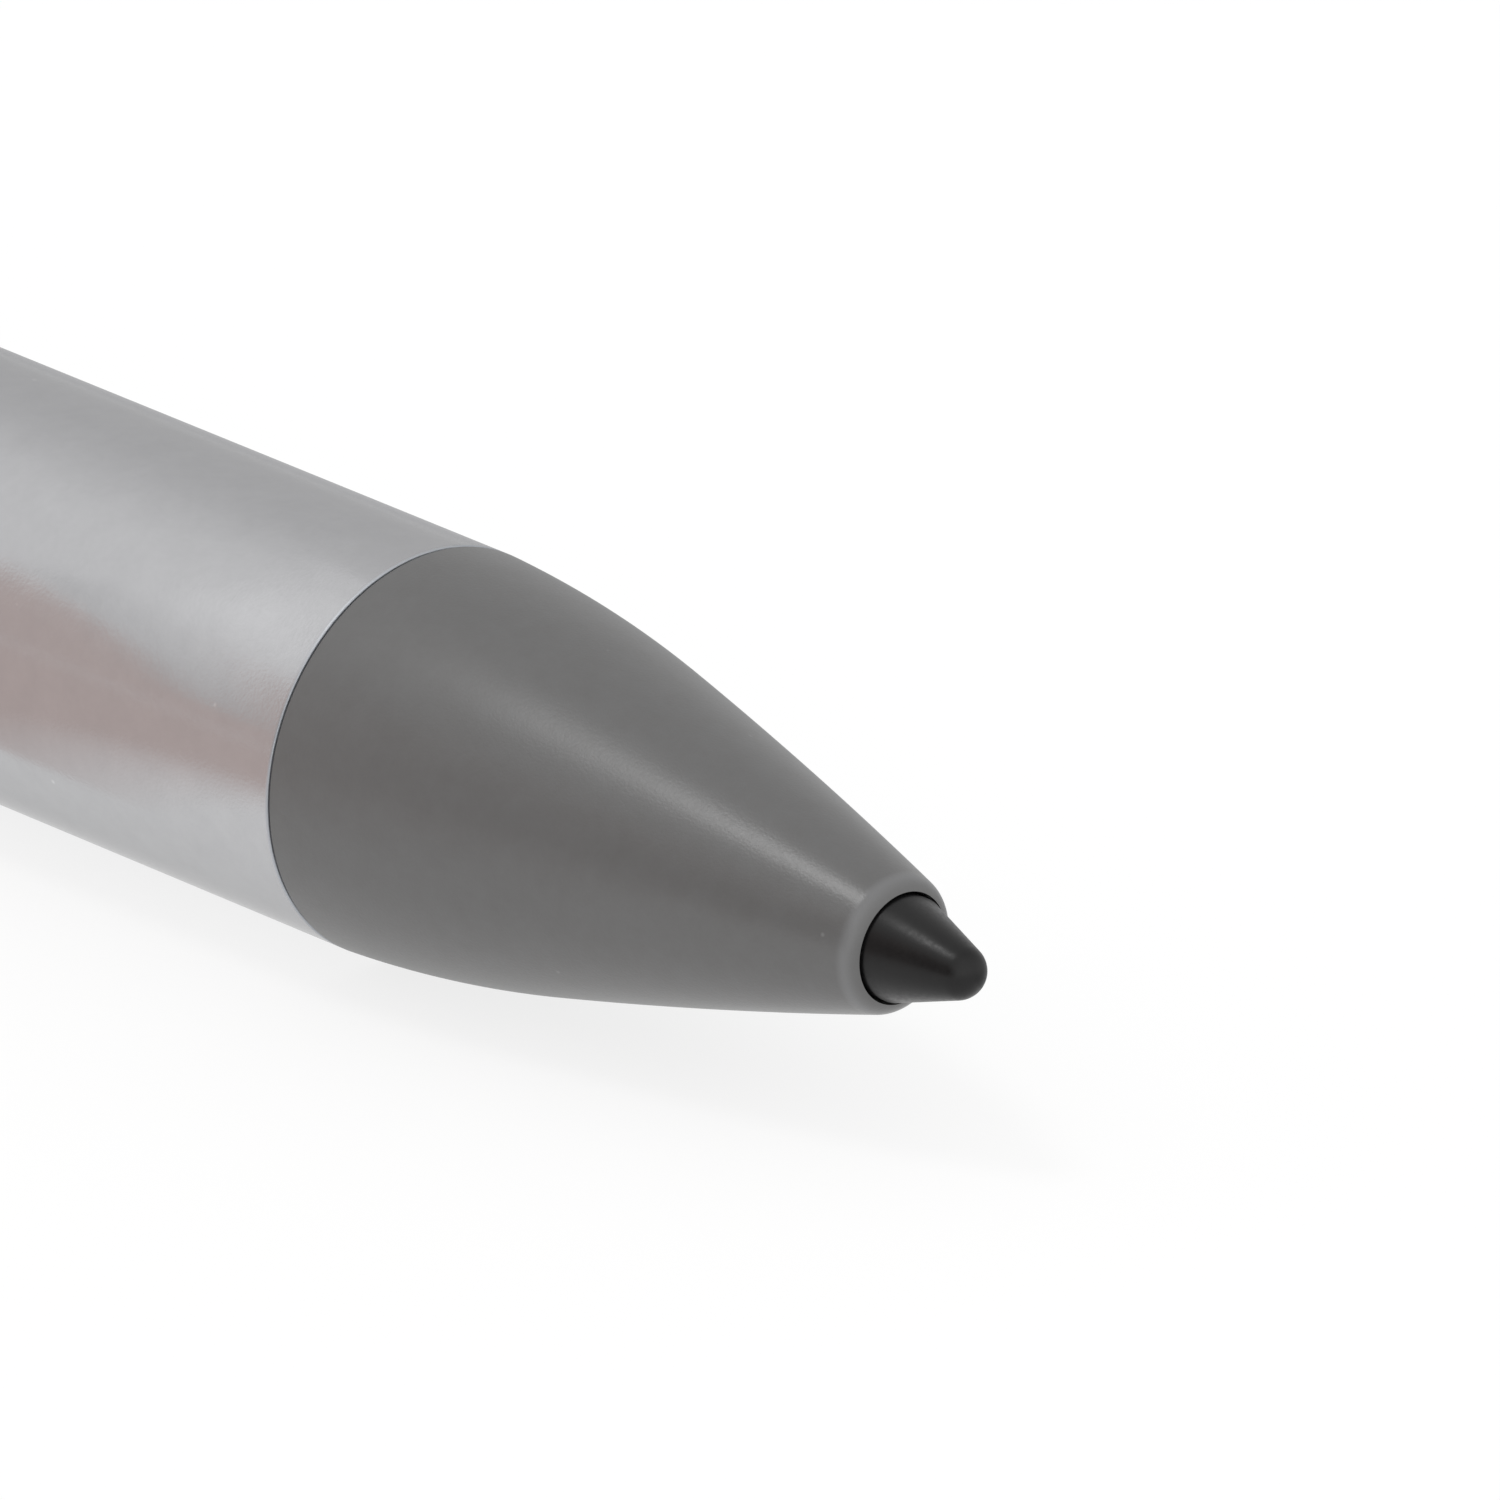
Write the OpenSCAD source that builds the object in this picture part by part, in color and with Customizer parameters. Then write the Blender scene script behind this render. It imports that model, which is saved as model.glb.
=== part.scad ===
// Stylus pen for a tablet: two metal tubes, a moulded nose cone, a black nib that feels pressure,
// two side keys, one AAAA cell, and a screwed tail with a pocket clip and a push button.
// The axis is the X axis with the nib towards +X. The straight front edge of the barrel is at X = 0.
// Every piece is drawn with its keys and clip upwards, then rolled over to lie on the clip.

/* [Barrel] */
// Outside diameter of both tubes
barrel_d = 9.5; // [9.4:0.1:10.5]
// Wall of both tubes
barrel_wall = 0.5; // [0.4:0.02:0.52]
// Length of the front tube
front_len = 50; // [47:1:60]
// Width of the insulating ring that shows between the tubes
ring_w = 1; // [0.6:0.1:1.6]
// How far the insulating ring lies below the tubes
ring_recess = 0.3; // [0.1:0.01:0.45]
// Broken edge at the ends of the tubes
edge_break = 0.06; // [0.03:0.01:0.12]
// Open line between the front tube and the nose cone
seam_gap = 0.06; // [0.03:0.01:0.15]
// Gap of a piece that is glued or slid into another
fit_gap = 0.05; // [0.02:0.01:0.08]
// Gap between pieces that meet end to end
end_gap = 0.1; // [0.05:0.01:0.15]
// Length of the bulkhead inside each tube
bulkhead_grip = 3.5; // [3.2:0.1:5]
// Wall of the bulkhead round the battery spring
bulkhead_wall = 0.9; // [0.7:0.05:1.2]
// Depth of the battery spring's seat in the bulkhead
spring_seat_deep = 1.7; // [1.4:0.1:2.2]

/* [Nose cone] */
// Length that shows in front of the barrel
nose_len = 15.45; // [14:0.05:17]
// Slope of the outside where it leaves the barrel
shoulder_slope = 2.6; // [1:0.1:4]
// Radius of the outside behind the straight flank
shoulder_r = 34; // [28:1:50]
// Length of that rounded stretch
shoulder_len = 5.85; // [4:0.05:7]
// Radius of the lip round the nib
lip_r = 0.52; // [0.4:0.02:0.7]
// Wall of the lip round the nib
lip_wall = 0.33; // [0.25:0.01:0.5]
// Length of the spigot inside the barrel
spigot_len = 7; // [6.6:0.1:9]
// Wall of the spigot
spigot_wall = 0.8; // [0.6:0.05:0.9]

/* [Nib] */
// How far the nib stands out of the nose cone
nib_reach = 2.45; // [2.1:0.05:3]
// Diameter of the nib inside the nose cone
nib_d = 2.44; // [2.2:0.02:2.7]
// Radius of the ball end that writes
nib_ball_r = 0.65; // [0.5:0.05:0.8]
// Half angle of the nib's cone
nib_cone = 18.1; // [16:0.1:22]
// Length of the nib's thick head
nib_head_len = 4.5; // [4:0.1:5]
// Diameter of the nib's stem
nib_stem_d = 1.5; // [1.2:0.1:1.7]
// Gap round the nib in the mouth of the nose cone
nib_gap = 0.08; // [0.05:0.01:0.12]
// Pressure travel of the nib
nib_travel = 0.4; // [0.2:0.05:0.6]

/* [Pressure sensor] */
// Length of the electrode tube round the nib's stem
tip_electrode_len = 4.2; // [3:0.1:4.4]
// Outside diameter of the electrode tube
tip_electrode_d = 3.1; // [3:0.05:3.2]
// Length of the tilt electrode
tilt_electrode_len = 3.3; // [2.5:0.1:3.4]
// Outside diameter of the tilt electrode
tilt_electrode_d = 4.9; // [4.6:0.1:5.1]
// Length of the guide bush
guide_len = 3.6; // [3:0.1:3.8]
// Diameter of the nib holder in the guide bush
holder_d = 3; // [2.8:0.05:3.2]
// Running gap of the nib holder in the guide bush
holder_gap = 0.06; // [0.04:0.01:0.1]
// Flange of the nib holder that stops on the guide bush
holder_flange_d = 4.8; // [4.4:0.1:5.4]
// Thickness of that flange
holder_flange_t = 0.8; // [0.6:0.05:1]
// Pin of the nib holder that presses the sensor
holder_pin_d = 1.8; // [1.4:0.1:1.9]
// Length of the nib spring
nib_spring_len = 2.6; // [2.4:0.1:2.9]
// Thickness of the force sensor
sensor_t = 1; // [0.7:0.1:1.2]
// Wall of the cup round the force sensor
cup_wall = 0.9; // [0.8:0.05:1.1]
// Length of the cup behind the force sensor
cup_skirt = 1.4; // [1:0.1:1.6]
// How far the nib holder stands in front of its guide bush
holder_reach = 2.2; // [1.6:0.1:2.4]
// How far the holder's pin stands into the cup
pin_reach = 0.8; // [0.6:0.05:1]
// Wire of the springs under the nib
nib_wire_d = 0.3; // [0.2:0.02:0.36]

/* [Side keys] */
// From the front of the barrel to the front key
key_start = 17; // [15:0.5:18]
// Length of a key
key_len = 10; // [8:0.5:10.5]
// Width of a key
key_w = 3; // [2.4:0.1:3.4]
// Gap between the two keys along the barrel
key_space = 2; // [1.5:0.1:3]
// Gap round a key in its window
key_gap = 0.12; // [0.08:0.01:0.2]
// How far a key's middle stands out of the barrel
key_proud = 0.2; // [0.1:0.01:0.25]
// Radius of a key's crowned top across the barrel
key_crown_r = 3; // [2.4:0.1:4]
// Travel of a key
key_travel = 0.25; // [0.15:0.01:0.3]
// Ledge round a key that keeps it in
key_ledge = 0.5; // [0.4:0.05:0.6]
// Thickness of that ledge
key_ledge_t = 0.4; // [0.3:0.05:0.45]
// Nub under a key that presses its switch
key_nub_d = 1.8; // [1.4:0.1:2]
// Height of that nub
key_nub_t = 0.3; // [0.2:0.05:0.4]
// Height of a key's switch, and of the plunger in it
switch_t = 1; // [0.9:0.02:1.1]
// Length of a key's switch
switch_len = 3.4; // [3:0.1:4]
// Width of a key's switch
switch_w = 3; // [2.4:0.1:3.4]
// Diameter of a switch's plunger
plunger_d = 1.2; // [1:0.05:1.4]

/* [Board] */
// How far the circuit board stays clear of the bore
board_inset = 0.32; // [0.2:0.02:0.5]
// Thickness of the circuit board
board_t = 0.8; // [0.6:0.1:1]
// Diameter of the board screws
screw_d = 1; // [0.8:0.1:1.2]
// Depth of the board screws below the board
screw_deep = 2.1; // [1.6:0.1:2.3]
// Height of the board screws' heads
screw_head_t = 0.4; // [0.3:0.05:0.5]
// Rail of the carrier under each edge of the board
carrier_rail = 1; // [0.8:0.1:1.3]
// Floor of the carrier's trough
carrier_floor = 1.1; // [0.8:0.1:1.3]
// Side of the main chip
chip_w = 3.5; // [2.5:0.1:3.8]
// Height of the main chip
chip_t = 0.8; // [0.5:0.1:1]
// From the front of the board to the main chip
chip_front = 3.2; // [3:0.1:4]
// Length of the small chips
small_chip_w = 1.6; // [1.2:0.1:1.7]
// Width of the small chips
small_chip_d = 1.2; // [0.8:0.1:1.4]
// From the middle of the board to the small chips
small_chip_out = 1.4; // [1:0.1:1.6]
// Width of the sensor's flex strip
flex_w = 2.4; // [1.6:0.1:2.6]
// Thickness of the sensor's flex strip
flex_t = 0.12; // [0.08:0.01:0.16]

/* [Battery] */
// Gap round the AAAA cell in the rear tube
cell_gap = 0.1; // [0.08:0.01:0.25]
// Length of the AAAA cell with its terminal
cell_len = 42.5; // [41.5:0.5:42.5]
// Height of the terminal
cell_nub = 0.7; // [0.6:0.05:1]
// Diameter of the terminal
terminal_d = 3.2; // [2.6:0.1:3.6]
// Rounding of the cell's edges
cell_round = 0.3; // [0.2:0.05:0.5]
// Length of the pressed battery spring
cell_spring_len = 2.3; // [2.1:0.1:3]
// Wire of the battery spring
cell_wire_d = 0.4; // [0.3:0.02:0.44]
// Head of the pin that carries the battery's minus
pin_head_t = 0.3; // [0.2:0.05:0.4]
// Diameter of the contact pins
contact_pin_d = 1.1; // [0.8:0.1:1.2]
// Head of the contact that meets the terminal
contact_head_d = 4.4; // [3.8:0.1:4.8]
// Depth of that head in the plug
contact_head_t = 0.6; // [0.5:0.05:0.6]

/* [Tail] */
// Length of the tail sleeve
tail_len = 17; // [16.5:0.5:24]
// Thread pitch of the tail
thread_pitch = 0.6; // [0.5:0.05:0.6]
// Turns of the thread
thread_turns = 4; // [3:1:4]
// Depth of the thread
thread_depth = 0.24; // [0.2:0.02:0.26]
// Gap between the two threads
thread_gap = 0.1; // [0.09:0.01:0.11]
// Thickness of the tail gasket
gasket_t = 0.3; // [0.2:0.05:0.6]
// Length of the plug glued into the tail sleeve
plug_seat = 5; // [4:0.1:6]
// Thickness of the tail board
tail_board_t = 0.8; // [0.6:0.1:1]
// Height of the tail switch
tail_switch_t = 0.7; // [0.5:0.1:0.9]
// Diameter of the tail switch
tail_switch_d = 2.8; // [2.4:0.1:3.2]
// Lip of the tail sleeve that keeps the button in, across the axis
button_lip = 0.6; // [0.5:0.05:0.9]
// Length of that lip
button_lip_len = 1.5; // [1.1:0.1:1.8]
// Gap round the button in the lip
button_gap = 0.1; // [0.08:0.01:0.15]
// Flange that keeps the button in
button_flange_t = 1.4; // [1:0.1:1.6]
// Stem of the button that presses the tail switch
button_stem_d = 2.6; // [2:0.1:3]
// Wire of the tail spring
tail_wire_d = 0.36; // [0.26:0.02:0.4]
// Rounding of the tail sleeve's end
tail_round = 0.5; // [0.3:0.05:0.7]
// How far the tail button stands out
button_out = 2.6; // [1.6:0.1:3.5]
// Travel of the tail button
button_travel = 0.8; // [0.5:0.05:1.2]
// Rounding of the tail button's edge
button_round = 0.9; // [0.5:0.1:1.2]

/* [Clip] */
// Length of the clip along the pen
clip_len = 34; // [28:1:40]
// Width of the clip
clip_w = 3.6; // [3:0.1:4.4]
// Thickness of the clip's strip
clip_t = 0.7; // [0.5:0.05:0.9]
// Height of the room under the clip
clip_room = 1.3; // [1:0.1:1.8]
// Gap between the clip's end and the barrel
clip_gap = 0.12; // [0.1:0.01:0.2]
// From the end of the tail to the clip's leg
clip_root = 4.4; // [3.8:0.1:5]
// Radius of the clip's bend
clip_bend_r = 1.25; // [1:0.05:1.5]
// Radius of the curl at the clip's end
clip_curl_r = 2.4; // [2:0.1:3]
// Gap round the clip's leg in the tail
clip_slot_gap = 0.12; // [0.06:0.01:0.2]

/* [Hidden] */
$fn = 64;
silver = [0.76, 0.77, 0.79];
grey = [0.43, 0.43, 0.43];
black = [0.1, 0.1, 0.1];
brass = [0.78, 0.62, 0.3];
green = [0.1, 0.35, 0.2];
steel = [0.65, 0.66, 0.68];
natural = [0.85, 0.84, 0.8];

// radii of the tubes and of what slides into them
barrel_r = barrel_d / 2;
bore_r = barrel_r - barrel_wall;
spigot_r = bore_r - fit_gap;
carrier_r = bore_r - 2 * fit_gap;
cell_d = 2 * (bore_r - cell_gap);
button_d = 2 * (bore_r - button_lip);
bulkhead_bore_r = spigot_r - bulkhead_wall;
// the nose cone starts behind an open line
nose_x = edge_break + seam_gap;
mouth_r = nib_d / 2 + nib_gap;
// slopes of the two arcs of the nose cone: the flank runs from the shoulder to the lip
slope_1 = asin(sin(shoulder_slope) + shoulder_len / shoulder_r);
flank_x = nose_x + shoulder_len;
flank_r0 = barrel_r - shoulder_r * (cos(shoulder_slope) - cos(slope_1));
flank_end_x = nose_x + nose_len - 0.727 * lip_r;
flank_end_r = mouth_r + lip_wall;
flank_dx = flank_end_x - flank_x;
flank_dr = flank_end_r - flank_r0;
flank_chord = sqrt(flank_dx * flank_dx + flank_dr * flank_dr);
flank_bend = -flank_dx * sin(slope_1) - flank_dr * cos(slope_1);
flank_r = flank_chord * flank_chord / (2 * flank_bend);
slope_2 = slope_1 + 2 * asin(flank_chord / (2 * flank_r));
lip_x = flank_end_x - lip_r * sin(slope_2);
lip_mid_r = flank_end_r - lip_r * cos(slope_2);
lip_end = acos(min(1, max(0, (mouth_r - lip_mid_r) / lip_r)));
// the nib and the steps of the nose cone's bore
tip_x = nose_x + nose_len + nib_reach;
ball_x = tip_x - nib_ball_r;
head_x = tip_x - nib_head_len;
cone_x = ball_x + nib_ball_r * sin(nib_cone) - (nib_d / 2 - nib_ball_r * cos(nib_cone)) / tan(nib_cone);
step_1_x = head_x - nib_travel - 0.3;
tip_el_x = step_1_x - fit_gap;
step_2_x = tip_el_x - tip_electrode_len - end_gap;
tilt_el_x = step_2_x - fit_gap;
step_3_x = tilt_el_x - tilt_electrode_len - end_gap;
plunger_bore_r = spigot_r - spigot_wall;
sensor_d = 2 * (plunger_bore_r - 2 * fit_gap - cup_wall);
// the nib holder with its guide, spring and sensor
guide_x = step_3_x - fit_gap;
guide_back = guide_x - guide_len;
flange_x = guide_back - fit_gap;
flange_back = flange_x - holder_flange_t;
holder_x = guide_x + holder_reach;
stem_end = flange_x + 0.5;
cup_x = flange_back - nib_spring_len;
pin_end = cup_x - pin_reach;
sensor_x = pin_end - nib_travel - fit_gap;
sensor_back = sensor_x - sensor_t;
cup_back = sensor_back - cup_skirt;
// heights under a key, from the bore down to the board
ledge_top = sqrt(pow(bore_r - key_gap, 2) - pow(key_w / 2 + key_ledge, 2));
ledge_bottom = ledge_top - key_ledge_t;
nub_bottom = ledge_bottom - key_nub_t;
board_top = nub_bottom - switch_t - key_travel - fit_gap;
board_bottom = board_top - board_t;
board_w = 2 * (sqrt(carrier_r * carrier_r - board_top * board_top) - board_inset);
trough_w = board_w - 2 * carrier_rail;
trough_z = carrier_floor - sqrt(carrier_r * carrier_r - trough_w * trough_w / 4);
key_mid = [for (i = [0:1]) -key_start - key_len / 2 - i * (key_len + key_space)];
// the carrier of the board and the bulkhead behind it
carrier_x = -spigot_len - end_gap;
bulkhead_x = bulkhead_grip - front_len;
carrier_back = bulkhead_x + end_gap;
board_x = carrier_x - 1.1;
board_back = carrier_back + 0.3;
small_chip_x = key_mid[0] - (key_len + key_space + small_chip_w) / 2;
screw_x = [board_x - 1.6, board_back + 1.6];
rear_x = -front_len - ring_w;
bulkhead_back = rear_x - bulkhead_grip;
spring_seat = bulkhead_back + spring_seat_deep;
// the battery, and the rear tube that is as long as the battery asks for
cell_x = spring_seat - pin_head_t - cell_spring_len;
cell_back = cell_x - cell_len;
contact_x = cell_back - end_gap;
plug_x = contact_x - end_gap;
thread_len = thread_turns * thread_pitch;
thread_x = plug_x - contact_head_t;
rear_end = thread_x - thread_len - 0.4;
thread_r = bore_r + thread_depth / 2 - thread_gap + 0.06;
// the tail
tail_x = rear_end - gasket_t;
tail_end = tail_x - tail_len;
plug_back = tail_x - plug_seat;
tail_board_x = plug_back - end_gap;
tail_board_back = tail_board_x - tail_board_t;
switch_back = tail_board_back - tail_switch_t;
stem_x = switch_back - button_travel - end_gap;
tail_spring_r = button_stem_d / 2 + 0.7;
lip_back_x = tail_end + button_lip_len;
button_flange_x = lip_back_x + end_gap + button_flange_t;
button_end = tail_end - button_out;
// the clip's middle line: leg, bend, arm and the curl that faces the barrel
clip_arm_z = barrel_r + clip_room + clip_t / 2;
clip_leg_x = tail_end + clip_root;
clip_tip_x = clip_leg_x + clip_len;
clip_dip = clip_room - clip_gap;
clip_curl = acos(1 - clip_dip / (2 * clip_curl_r));
clip_arm_end = clip_tip_x - clip_curl_r * (3 * sin(clip_curl));
// the roll that brings the clip's edge and the barrel down to one table
clip_top = clip_arm_z + clip_t / 2;
clip_edge = sqrt(clip_top * clip_top + clip_w * clip_w / 4);
lie_roll = 90 + asin(barrel_r / clip_edge) - atan(clip_w / 2 / clip_top);

// rolls a piece over to where it lies
module laid() {
    rotate([lie_roll, 0, 0]) children();
}

// a round bar along the axis
module rod(front, back, r) {
    translate([back, 0, 0]) rotate([0, 90, 0]) cylinder(h = front - back, r = r);
}

// a turned piece from points of radius and place along the axis
module turned(points) {
    rotate([0, 90, 0]) rotate_extrude() polygon(points);
}

// a flat shape with round ends
module stadium(length, width) {
    square([length - width, width], center = true);
    for (s = [-1, 1]) translate([s * (length - width) / 2, 0]) circle(d = width);
}

// points of an arc that falls towards the axis as it runs forward
function falling_arc(x0, r0, radius, a0, a1, n) = [for (i = [0:n])
    let (a = a0 + (a1 - a0) * i / n)
    [r0 - radius * (cos(a0) - cos(a)), x0 + radius * (sin(a) - sin(a0))]];

// points round the wire of a spring at one angle
function wire_ring(turn, x, r, wire) = [for (k = [0:5])
    [x + wire * sin(60 * k), (r + wire * cos(60 * k)) * cos(turn), (r + wire * cos(60 * k)) * sin(turn)]];

// a wound spring between two places along the axis
module wound(front, back, r_front, r_back, turns, wire) {
    last = 8 * turns;
    rings = [for (i = [0:last]) each wire_ring(45 * i,
        front - wire + (back - front + 2 * wire) * i / last, r_front + (r_back - r_front) * i / last, wire)];
    sides = [for (i = [0:last - 1], k = [0:5]) each
        [[6 * i + k, 6 * i + 6 + k, 6 * i + (k + 1) % 6],
         [6 * i + (k + 1) % 6, 6 * i + 6 + k, 6 * i + 6 + (k + 1) % 6]]];
    front_cap = [[0, 1, 2, 3, 4, 5]];
    back_cap = [[for (k = [5:-1:0]) 6 * last + k]];
    polyhedron(points = rings, faces = concat(sides, front_cap, back_cap));
}

// points of the thread's round section, whose middle circles the axis once in a pitch
function thread_ring(x, r) = let (turn = 360 * (x - thread_x) / thread_pitch) [for (k = [0:23])
    [x, thread_depth / 2 * cos(turn) + r * cos(15 * k), thread_depth / 2 * sin(turn) + r * sin(15 * k)]];

// the thread's form between two places along the axis
module thread_form(front, back, r) {
    last = ceil(8 * (front - back) / thread_pitch);
    rings = [for (i = [0:last]) each thread_ring(front + (back - front) * i / last, r)];
    sides = [for (i = [0:last - 1], k = [0:23]) each
        [[24 * i + k, 24 * i + (k + 1) % 24, 24 * i + 24 + k],
         [24 * i + (k + 1) % 24, 24 * i + 24 + (k + 1) % 24, 24 * i + 24 + k]]];
    front_cap = [[for (k = [23:-1:0]) k]];
    back_cap = [[for (k = [0:23]) 24 * last + k]];
    polyhedron(points = rings, faces = concat(sides, front_cap, back_cap));
}

// a tube with both outer edges broken, whose wall closes beside the keys
module tube(front, back) {
    rotate([36, 0, 0]) turned([[bore_r, back], [barrel_r - edge_break, back], [barrel_r, back + edge_break],
        [barrel_r, front - edge_break], [barrel_r - edge_break, front], [bore_r, front]]);
}

module front_barrel() color(silver) laid() difference() {
    tube(edge_break, -front_len);
    for (m = key_mid) translate([m, 0, 0]) linear_extrude(height = barrel_d)
        stadium(key_len + 2 * key_gap, key_w + 2 * key_gap);
}

module rear_barrel() color(silver) laid() difference() {
    tube(rear_x, rear_end);
    thread_form(thread_x + 0.2, rear_end - 0.5, thread_r + thread_gap);
}

module battery_bulkhead() color(grey) laid() difference() {
    union() {
        rod(bulkhead_x, bulkhead_back, spigot_r);
        rod(-front_len, rear_x, barrel_r - ring_recess);
    }
    rod(spring_seat, bulkhead_back - 1, bulkhead_bore_r);
    rod(bulkhead_x + 1, spring_seat - 1, contact_pin_d / 2 + fit_gap);
}

module nose_cone() color(grey) laid() difference() {
    turned(concat([[0, -spigot_len], [spigot_r, -spigot_len], [spigot_r, nose_x],
        [barrel_r - edge_break, nose_x]],
        falling_arc(nose_x + edge_break, barrel_r, shoulder_r, shoulder_slope, slope_1, 10),
        falling_arc(flank_x + edge_break, flank_r0, flank_r, slope_1, slope_2, 8),
        [for (i = [0:8]) let (a = slope_2 + (lip_end - slope_2) * i / 8)
            [lip_mid_r + lip_r * cos(a), lip_x + edge_break + lip_r * sin(a)]],
        [[mouth_r, lip_x + edge_break + lip_r * sin(lip_end)],
        [0, lip_x + edge_break + lip_r * sin(lip_end)]]));
    rod(tip_x, step_1_x - 1, mouth_r);
    rod(step_1_x, step_2_x - 1, tip_electrode_d / 2 + fit_gap);
    rod(step_2_x, step_3_x - 1, tilt_electrode_d / 2 + fit_gap);
    rod(step_3_x, -spigot_len - 1, plunger_bore_r);
}

module nib() color(black) laid()
    turned(concat([[0, stem_end], [nib_stem_d / 2, stem_end], [nib_stem_d / 2, head_x],
        [nib_d / 2, head_x], [nib_d / 2, cone_x]],
        [for (i = [0:9]) let (a = nib_cone + (90 - nib_cone) * i / 9)
            [nib_ball_r * cos(a), ball_x + nib_ball_r * sin(a)]]));

module nib_holder() color(natural) laid() difference() {
    turned([[0, pin_end], [holder_pin_d / 2, pin_end], [holder_pin_d / 2, flange_back],
        [holder_flange_d / 2, flange_back], [holder_flange_d / 2, flange_x], [holder_d / 2, flange_x],
        [holder_d / 2, holder_x], [0, holder_x]]);
    rod(holder_x + 1, stem_end - 0.1, nib_stem_d / 2 + 0.02);
}

module tip_electrode() color(brass) laid() difference() {
    rod(tip_el_x, tip_el_x - tip_electrode_len, tip_electrode_d / 2);
    rod(tip_el_x + 1, tip_el_x - tip_electrode_len - 1, nib_stem_d / 2 + 0.2);
}

module tilt_electrode() color(brass) laid() difference() {
    rod(tilt_el_x, tilt_el_x - tilt_electrode_len, tilt_electrode_d / 2);
    rod(tilt_el_x + 1, tilt_el_x - tilt_electrode_len - 1, tilt_electrode_d / 2 - 0.3);
}

module nib_guide() color(natural) laid() difference() {
    rod(guide_x, guide_back, plunger_bore_r - fit_gap);
    rod(guide_x + 1, guide_back - 1, holder_d / 2 + holder_gap);
}

module nib_spring() color(steel) laid()
    wound(flange_back, cup_x, holder_pin_d / 2 + 0.55, holder_pin_d / 2 + 0.55, 3, nib_wire_d / 2);

module sensor_cup() color(black) laid() difference() {
    rod(cup_x, cup_back, plunger_bore_r - fit_gap);
    rod(cup_x + 1, sensor_back, holder_pin_d / 2 + 0.1);
    rod(sensor_x + 0.2, cup_back - 1, sensor_d / 2 + fit_gap);
}

module force_sensor() color(steel) laid() rod(sensor_x, sensor_back, sensor_d / 2);

module sensor_flex() color([0.75, 0.45, 0.15]) laid()
    translate([board_x - 0.4, -flex_w / 2, board_top]) cube([sensor_back - board_x + 0.4, flex_w, flex_t]);

module board_carrier() color(natural) laid() difference() {
    union() {
        rod(sensor_back - fit_gap, carrier_x, sensor_d / 2);
        rod(carrier_x, carrier_x - 1, carrier_r);
        difference() {
            rod(carrier_x - 1, carrier_back, carrier_r);
            translate([carrier_back - 1, -barrel_r, board_bottom]) cube([front_len, barrel_d, barrel_d]);
            translate([carrier_back + 1, -trough_w / 2, trough_z])
                cube([carrier_x - carrier_back - 3, trough_w, barrel_d]);
        }
        for (x = screw_x) translate([x, 0, trough_z - 0.1])
            cylinder(h = board_bottom - trough_z + 0.1, r = screw_d / 2 + 0.6);
    }
    translate([carrier_x - 2, -flex_w / 2 - end_gap, board_top - fit_gap])
        cube([sensor_back - carrier_x + 4, flex_w + 2 * end_gap, flex_t + 2 * end_gap]);
    for (x = screw_x) translate([x, 0, board_bottom - screw_deep - end_gap])
        cylinder(h = barrel_d, r = screw_d / 2 + 0.02);
}

module circuit_board() color(green) laid() difference() {
    translate([board_back, -board_w / 2, board_bottom]) cube([board_x - board_back, board_w, board_t]);
    for (x = screw_x) translate([x, 0, board_bottom - 1]) cylinder(h = board_t + 2, r = screw_d / 2 + 0.1);
}

module board_chips() color(black) laid() {
    translate([board_x - chip_front - chip_w, -chip_w / 2, board_top]) cube([chip_w, chip_w, chip_t]);
    translate([small_chip_x, -small_chip_out - small_chip_d, board_top])
        cube([small_chip_w, small_chip_d, 0.5]);
    translate([small_chip_x, small_chip_out, board_top])
        cube([small_chip_w, small_chip_d, 0.5]);
    translate([key_mid[1] + switch_len / 2 + 1.1, -1, board_top]) cube([2, 2, 0.6]);
    translate([key_mid[0] - 1.5, -1.5, board_bottom - 0.7]) cube([3, 3, 0.7]);
}

module board_screws() color(steel) laid() for (x = screw_x) {
    translate([x, 0, board_top]) cylinder(h = screw_head_t, r = screw_d);
    translate([x, 0, board_bottom - screw_deep]) cylinder(h = board_t + screw_deep, r = screw_d / 2);
}

module key_switches() color(steel) laid() for (m = key_mid) difference() {
    translate([m - switch_len / 2, -switch_w / 2, board_top]) cube([switch_len, switch_w, switch_t]);
    translate([m, 0, board_top - 1]) cylinder(h = switch_t + 2, r = plunger_d / 2 + fit_gap);
}

module side_key(mid) {
    intersection() {
        translate([mid, 0, ledge_top - 0.2]) linear_extrude(height = barrel_d) stadium(key_len, key_w);
        translate([0, 0, barrel_r + key_proud - key_crown_r])
            rod(mid + key_len, mid - key_len, key_crown_r);
    }
    translate([mid, 0, ledge_bottom]) linear_extrude(height = key_ledge_t)
        stadium(key_len + 2 * key_ledge, key_w + 2 * key_ledge);
    translate([mid, 0, nub_bottom]) cylinder(h = key_nub_t + 0.1, d = key_nub_d);
}

module front_key() color(grey) laid() side_key(key_mid[0]);

module rear_key() color(grey) laid() side_key(key_mid[1]);

module front_actuator() color(black) laid()
    translate([key_mid[0], 0, nub_bottom - switch_t]) cylinder(h = switch_t, d = plunger_d);

module rear_actuator() color(black) laid()
    translate([key_mid[1], 0, nub_bottom - switch_t]) cylinder(h = switch_t, d = plunger_d);

module minus_pin() color(brass) laid() {
    rod(bulkhead_x, spring_seat, contact_pin_d / 2);
    rod(spring_seat, spring_seat - pin_head_t, bulkhead_bore_r - end_gap);
}

module battery_spring() color(steel) laid()
    wound(spring_seat - pin_head_t, cell_x, bulkhead_bore_r - 0.5, bulkhead_bore_r - 1.4, 2, cell_wire_d / 2);

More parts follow.
